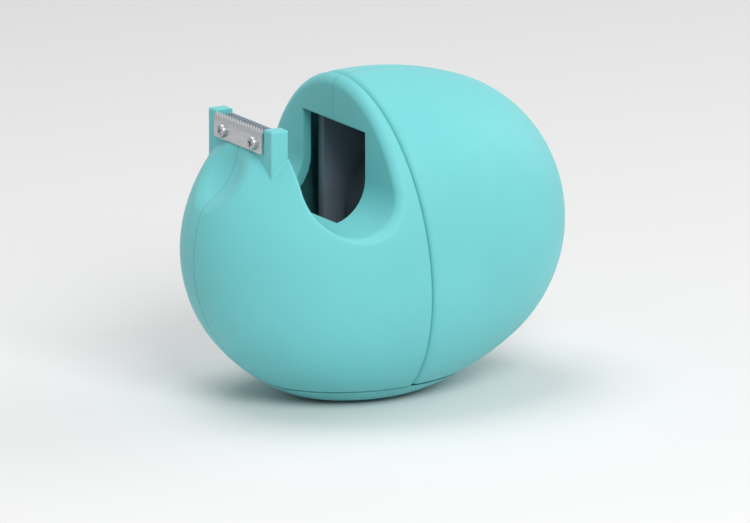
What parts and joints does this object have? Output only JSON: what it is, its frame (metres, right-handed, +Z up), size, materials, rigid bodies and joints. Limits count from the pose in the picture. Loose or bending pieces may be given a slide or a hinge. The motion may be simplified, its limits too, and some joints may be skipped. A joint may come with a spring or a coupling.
{
  "type": "desktop tape dispenser",
  "caption": "Egg-shaped desktop tape dispenser with a finger notch, a guarded cutter bar, a weighted base and a pull-off rear cover over a spinning tape spool.",
  "frame": {"origin": "on the table, under the middle of the object's box", "axes": "+Z up, the cutter end towards -X and the rear cover towards +X, +Y to the object's left side seen from its rear"},
  "size_m": [0.0924, 0.066, 0.074],
  "materials": {
    "mint_shell": "soft-touch matt mint",
    "dark_plastic": "matt charcoal",
    "grip_pad": "matt foam rubber",
    "ballast": "raw casting",
    "blade_steel": "ground bright",
    "screw_steel": "zinc plated",
    "hub_plastic": "matt moulded",
    "washer_plastic": "smooth",
    "core_plastic": "matt moulded",
    "tape_film": "clear film in a wound roll"
  },
  "bodies": {
    "base": {"front_shell_left": "mint_shell", "front_shell_right": "mint_shell", "base_plate": "mint_shell", "base_pad": "grip_pad", "ballast_block": "ballast", "chassis": "dark_plastic", "tape_rest": "dark_plastic", "cutter_blade": "blade_steel", "blade_screws": "screw_steel", "base_screws": "screw_steel", "ballast_screws": "screw_steel", "chassis_screws": "screw_steel"},
    "rear_cover": {"rear_shell_left": "mint_shell", "rear_shell_right": "mint_shell"},
    "spool": {"hub_left": "hub_plastic", "hub_right": "hub_plastic", "axle_pin": "screw_steel", "drag_washers": "washer_plastic", "tape_core": "core_plastic", "tape_roll": "tape_film"}
  },
  "joints": [
    {"name": "cover_pull", "type": "slide", "parent": "base", "child": "rear_cover", "axis": [0.9945, 0, 0.1045], "range_m": [0, 0.06]},
    {"name": "spool_spin", "type": "hinge", "parent": "base", "child": "spool", "pos_m": [0.01506, 0, 0.03882], "axis": [0, 1, 0], "continuous": true}
  ]
}
